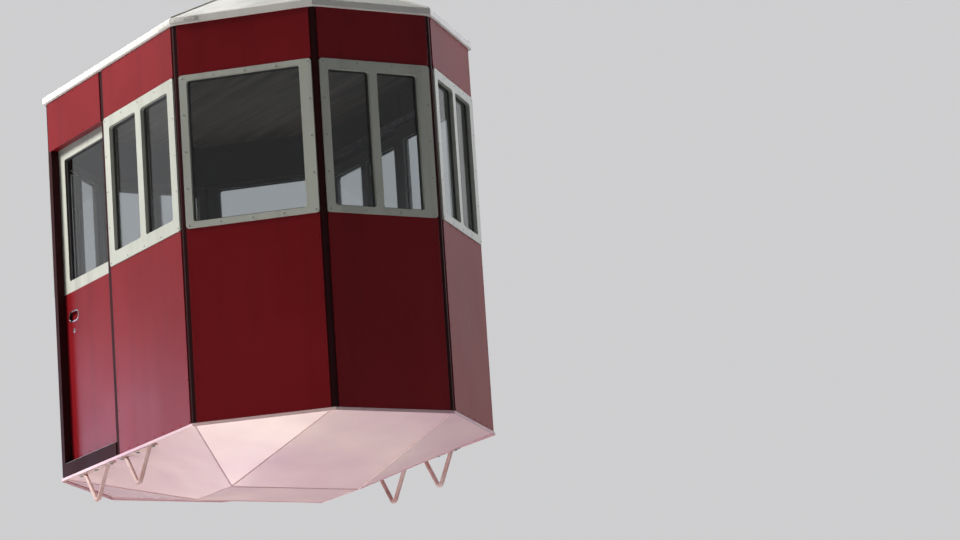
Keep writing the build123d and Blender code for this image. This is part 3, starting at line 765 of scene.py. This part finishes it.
def riveted(name, slot, finish, nodes, trim):
    pile = Pile()
    for node in nodes:
        for points in solidsOf(node):
            rivetEdges(pile, *lieOnSide(points), trim)
    pile.piece(name, "cabin", slot, finish)


def glazed(name, body, node):
    # rubber round every pane, outside and inside
    trim, pile = sealTrim, Pile()
    profile = [(out * trim["wide"], rise * trim["high"]) for out, rise in trim["profile"]]
    for points in solidsOf(node):
        index, low, top = lieOnSide(points)
        outline = roundedOutline(low.x, top.x, low.y, top.y, trim["paneCorner"])
        pile.add(moulding(outline, profile), onSide(index, out=top.z))
        pile.add(moulding(outline, [(out, -rise) for out, rise in profile]), onSide(index, out=low.z))
    pile.piece(name, body, None, "sealRubber")


def dressWalls():
    riveted("panelRivets", "red_paint", "redEnamel", ("lower_panels", "upper_panels"), rivetTrim)
    riveted("frameScrews", "bright_steel", "zincFinish", ("window_frames",), screwTrim)
    glazed("windowSeals", "cabin", "window_panes")


# Roof, rim and pan

roofTrim = {
    "seamHalf": 0.0065, "thinSeam": 0.8, "seamsAlong": (-0.36, 0.0, 0.36), "skirtOut": 0.008, "flatIn": -0.406,
    "startIn": 0.01, "reachIn": 0.995,   # the seams start a little inside the rim
}


def dressRoof():
    trim, pile = roofTrim, Pile()
    thick, thin = (trim["seamHalf"],), (trim["seamHalf"] * trim["thinSeam"],)
    low = [Vector((*corner, rimTop)) for corner in planCorners(trim["skirtOut"])]
    flat = [Vector((*corner, roofTop)) for corner in planCorners(trim["flatIn"])]
    for a, b in zip(low, flat):
        pile.add(tube([a.lerp(b, trim["startIn"]), b], thick))
    for i in range(8):
        pile.add(tube([flat[i], flat[(i + 1) % 8]], thin))
    for y in trim["seamsAlong"]:
        line = [(low[2].x, rimTop), (flat[2].x, roofTop), (flat[6].x, roofTop), (low[6].x, rimTop)]
        pile.add(tube([Vector((x * trim["reachIn"], y, z)) for x, z in line], thin))
    pile.piece("roofSeams", "cabin", "roof_paint", "roofPaint")


rimTrim = {
    "corners": (7, 3),   # where the rim's two halves meet
    "lapReach": 0.158, "lapThick": 0.0025, "lapIn": 0.018, "lapEdge": 0.001,
    "rivet": 0.0050, "rivetsAlong": (0.12, 0.5, 0.88),
}


def dressRim():
    # lap plates over the rim's joints, with their rivets
    trim, pile = rimTrim, Pile()
    height, reach = rimTop - eave, trim["lapReach"]
    middle, face = eave - base + height / 2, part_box("eave_rim")[1].x - plan["reach"].x
    for corner in trim["corners"]:
        for index, start in ((corner - 1, sideLength(corner - 1) - reach), (corner, 0.0)):
            place = onSide(index, start + reach / 2, middle, face)
            pile.add(plate(reach, height - trim["lapIn"], trim["lapThick"], trim["lapEdge"]), place)
            for step in trim["rivetsAlong"]:
                spot = onSide(index, start + reach * step, middle, face + trim["lapThick"])
                rivet(pile, spot.translation, outwardOf(index), trim["rivet"])
    pile.piece("rimLaps", "cabin", "cream_paint", "rimPaint")


panTrim = {
    "seam": 0.0055, "thinSeam": 0.8, "margin": -0.006, "startIn": 0.012,
    "flat": (0.410, 0.230),   # half the lowest facet's width and length
    "folds": (0, 1, 1, 2, 2, 3, 3, 0),   # the flat's corner that each corner of the rim folds down to
    "lipThick": 0.0015, "lipDeep": 0.018, "lipRound": 0.9,
}


def dressPan():
    trim, pile = panTrim, Pile()
    rim = [Vector((*corner, base)) for corner in planCorners(trim["margin"])]
    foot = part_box("floor_pan")[0].z
    x, y = trim["flat"]
    low = [Vector(p) for p in ((-x, -y, foot), (x, -y, foot), (x, y, foot), (-x, y, foot))]
    for start, k in zip(rim, trim["folds"]):
        pile.add(tube([start.lerp(low[k], trim["startIn"]), low[k]], (trim["seam"],)))
    for k in range(4):
        pile.add(tube([low[k], low[(k + 1) % 4]], (trim["seam"] * trim["thinSeam"],)))
    pile.piece("panSeams", "cabin", "pan_paint", "panPaint")
    lip, thick, deep = Pile(), trim["lipThick"], trim["lipDeep"]
    shoulder = -deep * trim["lipRound"]
    profile = [(-thick, 0), (thick, 0), (thick, shoulder), (0, -deep), (-thick, shoulder)]
    lip.add(moulding(planCorners(), profile), Matrix.Translation((0, 0, base)))
    lip.piece("panLip", "cabin", "pan_paint", "panPaint")


# Guide brackets: bolts through their strips, and welds of their bars

bracketTrim = {
    "places": ((2, 0.655), (2, 1.237), (6, 0.458), (6, 1.040)),   # side, and how far along it
    "bolt": 0.011, "boltsAlong": (-0.216, 0.0, 0.216), "boltTurn": 0.3, "lineIn": 0.022, "stripDeep": 0.022,
    "barRadius": 0.013, "halfTop": 0.200, "deep": 0.220, "weld": 0.0035, "weldUnder": 0.001, "weldSteps": 16,
}


def dressBrackets():
    trim, pile = bracketTrim, Pile()
    lean = trim["halfTop"] / trim["deep"]
    stretch = hypot(1, lean)
    under, r, steps = -trim["stripDeep"], trim["barRadius"], trim["weldSteps"]
    for index, tip in trim["places"]:
        for step in trim["boltsAlong"]:
            spot = onSide(index, tip + step, under, -trim["lineIn"]).translation
            bolt(pile, spot, (0, 0, -1), trim["bolt"], trim["boltTurn"])
        for side in (-1, 1):
            u = tip + side * (trim["halfTop"] + under * lean)
            turns = [tau * k / steps for k in range(steps + 1)]
            ring = [onSide(index, u + r * stretch * cos(t), under - trim["weldUnder"],
                           -trim["lineIn"] + r * sin(t)).translation for t in turns]
            bead(pile, ring, trim["weld"], 1)
    pile.piece("bracketBolts", "cabin", "bright_steel", "zincFinish", "bracketPaint")


# Doors: pane rubber, rivets, the pull's bezel, a lock and a kick plate inside

doorTrim = {
    "leaf": (0.045, 0.810), "leafFoot": 0.086, "faceIn": 0.051, "innerFace": 0.091,
    "pullFrom": 0.105, "pullLong": 0.130, "pullHigh": 0.055, "pullLevel": 0.960, "pullSteps": 10,
    "bezel": ((-0.0012, 0), (-0.0012, 0.0016), (0.0035, 0.00208), (0.007, 0.00096), (0.007, 0)),
    "lockBelow": 0.090, "lockSize": 0.015,
    "lock": (28, ((0, 0), (1, 0), (1, 0.0667), (0.86, 0.1333), (0.5, 0.1333), (0.5, 0.08), (0, 0.08))),
    "kickHigh": 0.150, "kickIn": 0.015, "kickUp": 0.02, "kickThick": 0.0015, "kickEdge": 0.0006,
}
doorRivetTrim = {"size": 0.00384, "inset": 0.030, "spacing": rivetTrim["spacing"]}


def dressDoor(name, index):
    trim, body = doorTrim, "door_" + name
    glazed("doorSeal_" + name, body, "door_pane_" + name)
    low, high = trim["leaf"]
    outer = -trim["faceIn"]
    rivets = Pile()
    corners = Vector((low, trim["leafFoot"], outer)), Vector((high, sill - base, outer))
    rivetEdges(rivets, index, *corners, doorRivetTrim)
    rivets.piece("doorRivets_" + name, body, "red_paint", "redEnamel")
    metal = Pile()
    start, level, half = trim["pullFrom"], trim["pullLevel"], trim["pullHigh"] / 2
    outline = roundedOutline(start, start + trim["pullLong"], level - half, level + half, half - 0.0002,
                             trim["pullSteps"])
    metal.add(moulding(outline, trim["bezel"]), onSide(index, out=outer))
    metal.add(turned(trim["lock"], trim["lockSize"]),
              onSide(index, start + trim["pullLong"] / 2, level - trim["lockBelow"], outer))
    kick = trim["kickHigh"]
    inside = onSide(index, (low + high) / 2, trim["leafFoot"] + trim["kickUp"] + kick / 2, -trim["innerFace"])
    metal.add(plate(high - low - 2 * trim["kickIn"], kick, trim["kickThick"], trim["kickEdge"]),
              inside @ Matrix.Rotation(pi, 4, "Y"))
    metal.piece("doorMetal_" + name, body, "bright_steel", "brightSteel")


treadTrim = {
    "sides": (2, 6), "from": 0.062, "to": 0.793, "deck": 0.080, "in": 0.023, "deep": 0.042, "thick": 0.003,
    "edge": 0.001, "ribs": 5, "ribIn": 0.005, "ribWide": 0.003, "ribHigh": 0.0015, "ribEdge": 0.0006,
}


def dressThresholds():
    # ribbed treads under both door openings
    trim, pile = treadTrim, Pile()
    start, end, ribs = trim["from"], trim["to"], trim["ribs"]
    for index in trim["sides"]:
        place = onSide(index, (start + end) / 2, trim["deck"], -trim["in"])
        place = place @ Matrix.Rotation(-pi / 2, 4, "X")
        pile.add(plate(end - start, trim["deep"], trim["thick"], trim["edge"]), place)
        for rib in range(ribs):
            across = (rib - (ribs - 1) / 2) * trim["deep"] / (ribs + 0.5)
            pile.add(plate(end - start - 2 * trim["ribIn"], trim["ribWide"], trim["ribHigh"], trim["ribEdge"]),
                     place @ Matrix.Translation((0, across, trim["thick"])))
    pile.piece("doorTreads", "cabin", "bright_steel", "zincFinish")


railTrim = {
    "sides": (0, 1, 3, 4, 5, 7), "aboveSill": 0.020, "wallIn": 0.0453, "roseFrom": 0.210, "roseSides": 24,
    "rose": ((0.0092, 0), (0.021, 0), (0.021, 0.0025), (0.0147, 0.005), (0.0092, 0.007)),
    "railIn": 0.110, "capFrom": 0.150, "capSides": 20,
    "cap": ((0.016, 0), (0.01472, 0.003), (0.0096, 0.006), (0, 0.007)),
}


def dressRails():
    # flanges where the rails meet the wall, and caps on their ends
    trim, pile = railTrim, Pile()
    height = sill - base + trim["aboveSill"]
    rose, cap = lathe(trim["rose"], trim["roseSides"]), lathe(trim["cap"], trim["capSides"])
    for index in trim["sides"]:
        length, inward = sideLength(index), -outwardOf(index)
        for u in (trim["roseFrom"], length - trim["roseFrom"]):
            pile.add(rose, facing(onSide(index, u, height, -trim["wallIn"]).translation, inward))
        for u, way in ((trim["capFrom"], -1), (length - trim["capFrom"], 1)):
            spot = onSide(index, u, height, -trim["railIn"])
            pile.add(cap, facing(spot.translation, spot.to_3x3() @ Vector((way, 0, 0))))
    pile.piece("railRoses", "cabin", "bright_steel", "brightSteel")


# Roof beam and hanger

hangerTrim = {
    "line": ((0.209, 0.560), (0.209, 0.400), (0.430, 0.130), (0.430, -0.330), (0.0, -1.150), (0.0, -2.381)),
    "bend": 0.250, "seamOff": 0.0615, "seamOut": 0.0575, "seam": 0.0042, "seamSides": 6, "seamTop": 0.44,
    "plateHigh": 0.020, "webOut": 0.056, "webX": 0.037, "sideX": (0.052, 0.063), "flangeOut": 0.070,
    "flangeX": 0.075, "gussetX": 0.045, "gussetHalf": 0.007, "gussetFoot": 0.198, "gussetHigh": 0.190,
    "weld": 0.005,
}
frameBoltTrim = {
    "footX": 0.065, "footY": (0.100, 0.148, 0.190), "footBolt": 0.012, "footTurn": 40,
    "padX": 0.405, "padY": 0.600, "padBoltX": 0.045, "padBoltY": 0.063, "padTop": 0.012, "padBolt": 0.010,
    "bearerTop": 0.084, "crossX": 0.045, "crossY": 0.030, "crossTurn": 0.4,
}


def bentLine(points, bend, step=0.02):
    # points joined by straights and round bends
    points = [Vector(p) for p in points]
    line = [points[0]]
    for before, corner, after in zip(points, points[1:], points[2:]):
        back, on = (before - corner).normalized(), (after - corner).normalized()
        half = back.angle(on) / 2
        reach = bend / tan(half)
        centre = corner + (back + on).normalized() * (bend / sin(half))
        count = max(2, round((pi - 2 * half) * bend / step))
        a, b = corner + back * reach - centre, corner + on * reach - centre
        line += [centre + a.slerp(b, i / count) * bend for i in range(count + 1)]
    return line + [points[-1]]


def dressHanger():
    # seams along the box girder's four edges, and welds round its foot
    trim, seams = hangerTrim, Pile()
    line = bentLine([(x, 0, z) for x, z in trim["line"]], trim["bend"])
    for off in (-trim["seamOff"], trim["seamOff"]):
        path = []
        for i, spot in enumerate(line):
            ahead = (line[min(i + 1, len(line) - 1)] - line[max(i - 1, 0)]).normalized()
            path.append(spot + Vector((ahead.z, 0, -ahead.x)) * off)
        path = [p for p in path if p.z < trim["seamTop"]]
        for side in (-1, 1):
            edge = [p + Vector((0, side * trim["seamOut"], 0)) for p in path]
            seams.add(tube(edge, (trim["seam"],), trim["seamSides"]))
    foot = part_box("roof_beam")[1].z + trim["plateHigh"]
    out, wide, size, web = trim["webOut"], trim["flangeOut"], trim["weld"], trim["webX"]
    for sx in (-1, 1):
        flange = sx * trim["flangeX"]
        weld(seams, (flange, -wide, foot), (flange, wide, foot), size)
        for sy in (-1, 1):
            near, far = trim["sideX"]
            weld(seams, (sx * near, sy * out, foot), (sx * far, sy * out, foot), size)
            for edge in (-trim["gussetHalf"], trim["gussetHalf"]):
                x = sx * trim["gussetX"] + edge
                weld(seams, (x, sy * out, foot), (x, sy * trim["gussetFoot"], foot), size)
                weld(seams, (x, sy * out, foot), (x, sy * out, foot + trim["gussetHigh"]), size)
    for sy in (-1, 1):
        weld(seams, (-web, sy * out, foot), (web, sy * out, foot), size)
    seams.piece("hangerWelds", "cabin", "grey_paint", "greyPaint")
    dressFrameBolts(foot)


def dressFrameBolts(foot):
    # bolts of the hanger's foot and the roof beam's pads and bearers
    trim, bolts, up = frameBoltTrim, Pile(), (0, 0, 1)
    for sx, sy in ((-1, -1), (-1, 1), (1, -1), (1, 1)):
        for y in trim["footY"]:
            bolt(bolts, (sx * trim["footX"], sy * y, foot), up, trim["footBolt"], y * trim["footTurn"])
        padX, padY = sx * trim["padX"], sy * trim["padY"]
        for dx, dy in ((-1, -1), (-1, 1), (1, -1), (1, 1)):
            spot = padX + dx * trim["padBoltX"], padY + dy * trim["padBoltY"], roofTop + trim["padTop"]
            bolt(bolts, spot, up, trim["padBolt"], dx + dy)
        for dy in (-1, 1):
            spot = sx * trim["crossX"], padY + dy * trim["crossY"], roofTop + trim["bearerTop"]
            bolt(bolts, spot, up, trim["padBolt"], dy * trim["crossTurn"])
    bolts.piece("frameBolts", "cabin", "bright_steel", "zincFinish")


# Carriage; places on its sides are (y, z)

carriageTrim = {
    "pivot": (0.0, 0.560), "beamOut": 0.105, "pivotBolts": 12, "pivotRing": 0.129, "pivotBolt": 0.0125,
    "capOut": 0.319, "capBolts": 6, "capRing": 0.058, "capBolt": 0.010, "capNipple": 0.007,
    # through bolts of the beam: places, size, turn
    "through": (
        (((-0.340, 0.470), (0.340, 0.470)), 0.0165, 0.4),
        (((-0.060, 0.440), (0.060, 0.440)), 0.012, 0.2),
    ),
    "haulPlate": 0.1193, "haulY": 0.260, "haulBolt": 0.011, "haulTurn": 9,
    "haulBolts": ((-0.024, 0.400), (0.024, 0.400), (-0.030, 0.450), (0.030, 0.450)),
    "housingOut": 0.070, "housingBolt": 0.009,
    "housingBolts": ((-0.110, 0.272), (0.110, 0.272), (-0.110, 0.308), (0.110, 0.308)),
}
keeperTrim = {
    "pins": ((-0.880, 0.3425), (0.880, 0.3425)), "bossOut": 0.113, "pinOut": 0.119, "nipple": 0.0045,
    "size": (0.018, 0.066, 0.005), "edge": 0.0012, "up": 0.040, "bolt": 0.0075, "boltOff": 0.022, "turn": 30,
}
liningTrim = {"in": 0.0250, "size": (0.048, 0.232, 0.003), "edge": 0.001, "up": 0.001}


def dressCarriage():
    trim, pile = carriageTrim, Pile()
    py, pz = trim["pivot"]
    out, half = trim["beamOut"], pi / trim["pivotBolts"]
    for side in (-1, 1):
        away = (side, 0, 0)
        hub = (side * out, py, pz)
        boltRing(pile, hub, away, trim["pivotRing"], trim["pivotBolts"], trim["pivotBolt"], half)
        for places, size, turn in trim["through"]:
            for y, z in places:
                bolt(pile, (side * out, y, z), away, size, turn)
        dressKeepers(pile, side)
    cap, right = (trim["capOut"], py, pz), (1, 0, 0)
    boltRing(pile, cap, right, trim["capRing"], trim["capBolts"], trim["capBolt"])
    nipple(pile, cap, right, trim["capNipple"])
    for sign in (-1, 1):
        for dy, z in trim["haulBolts"]:
            spot = -trim["haulPlate"], sign * trim["haulY"] + dy, z
            bolt(pile, spot, (-1, 0, 0), trim["haulBolt"], dy * trim["haulTurn"])
        for y, z in trim["housingBolts"]:
            bolt(pile, (sign * trim["housingOut"], y, z), (sign, 0, 0), trim["housingBolt"], y)
    pile.piece("beamBolts", "carriage", "bright_steel", "zincFinish")


def dressKeepers(pile, side):
    # keeper plate, bolts and grease nipple at each rocker pin
    trim, away = keeperTrim, (side, 0, 0)
    for y, z in trim["pins"]:
        spot = Vector((side * trim["bossOut"], y, z + trim["up"]))
        upright = Matrix.Translation(spot) @ Matrix.Rotation(side * pi / 2, 4, "Y")
        pile.add(plate(*trim["size"], trim["edge"]), upright)
        for dy in (-trim["boltOff"], trim["boltOff"]):
            head = spot + Vector((side * trim["size"][2], dy, 0))
            bolt(pile, head, away, trim["bolt"], dy * trim["turn"])
        nipple(pile, (side * trim["pinOut"], y, z), away, trim["nipple"])


def dressBrake():
    # linings on the brake's shoes
    trim, shoes = liningTrim, Pile()
    for side in (-1, 1):
        place = Matrix.Translation((side * (trim["in"] + trim["size"][2]), 0, trim["up"]))
        shoes.add(plate(*trim["size"], trim["edge"]), place @ Matrix.Rotation(-side * pi / 2, 4, "Y"))
    shoes.piece("brakeLinings", "carriage", "dark_iron", "brakeLining")


rockerTrim = {
    "centres": (-0.880, 0.880), "pins": (-0.350, 0.350), "pinUp": 0.1925, "face": 0.0800, "clipSides": 28,
    "clip": ((0.0255, 0), (0.0315, 0), (0.0315, 0.00126), (0.0305, 0.0018), (0.0255, 0.0018)),
}


def dressRockers():
    trim = rockerTrim
    clip = lathe(trim["clip"], trim["clipSides"], True)
    for number, centre in enumerate(trim["centres"], 1):
        pile = Pile()
        for y in trim["pins"]:
            for side in (-1, 1):
                pile.add(clip, facing((side * trim["face"], centre + y, trim["pinUp"]), (side, 0, 0)))
        pile.piece(f"pinClips_{number}", f"rocker_{number}", "bright_steel", "brightSteel")


bogieTrim = {
    "centres": (-1.230, -0.530, 0.530, 1.230), "reach": 0.170, "up": 0.1225, "axleOut": 0.060,
    "axleRing": 0.022, "axleBolts": 3, "axleBolt": 0.00462, "start": 0.5, "nipple": 0.0032,
}


def dressBogies():
    trim = bogieTrim
    for number, centre in enumerate(trim["centres"], 1):
        pile = Pile()
        for end in (-1, 1):
            for side in (-1, 1):
                axle, away = (side * trim["axleOut"], centre + end * trim["reach"], trim["up"]), (side, 0, 0)
                boltRing(pile, axle, away, trim["axleRing"], trim["axleBolts"], trim["axleBolt"], trim["start"])
                nipple(pile, axle, away, trim["nipple"])
        pile.piece(f"axleBolts_{number}", f"bogie_{number}", "bright_steel", "zincFinish")
        for end in (-1, 1):
            dressWheel(2 * number - (end < 0), centre + end * trim["reach"], trim["up"])


wheelTrim = {
    "webFace": 0.009, "ring": 0.068, "bolts": 8, "bolt": 0.0072, "hubFace": 0.038, "sealSides": 28,
    "seal": ((0.0262, 0), (0.034, 0), (0.03332, 0.0014), (0.0262, 0.0014)),
}


def dressWheel(number, y, z):
    # bolts on the web, and a seal on each face of the hub
    trim, pile = wheelTrim, Pile()
    seal = lathe(trim["seal"], trim["sealSides"], True)
    for side in (-1, 1):
        away = (side, 0, 0)
        boltRing(pile, (side * trim["webFace"], y, z), away, trim["ring"], trim["bolts"], trim["bolt"])
        pile.add(seal, facing((side * trim["hubFace"], y, z), away), wear=1)
    pile.piece(f"wheelBolts_{number}", f"wheel_{number}", "bright_steel", "zincFinish", "sealRubber")


placeCamera()
addWorld()
addLamps()
addStage()
dressConstruction()
print("construction dressed:", len(cad), "nodes")
dressWalls()
dressRoof()
dressRim()
dressPan()
dressBrackets()
dressThresholds()
dressRails()
dressDoor("right", 2)
dressDoor("left", 6)
print("cabin and doors dressed")
dressHanger()
dressCarriage()
dressBrake()
dressRockers()
dressBogies()
print("hanger and carriage dressed")
scene.view_settings.view_transform = "Standard"
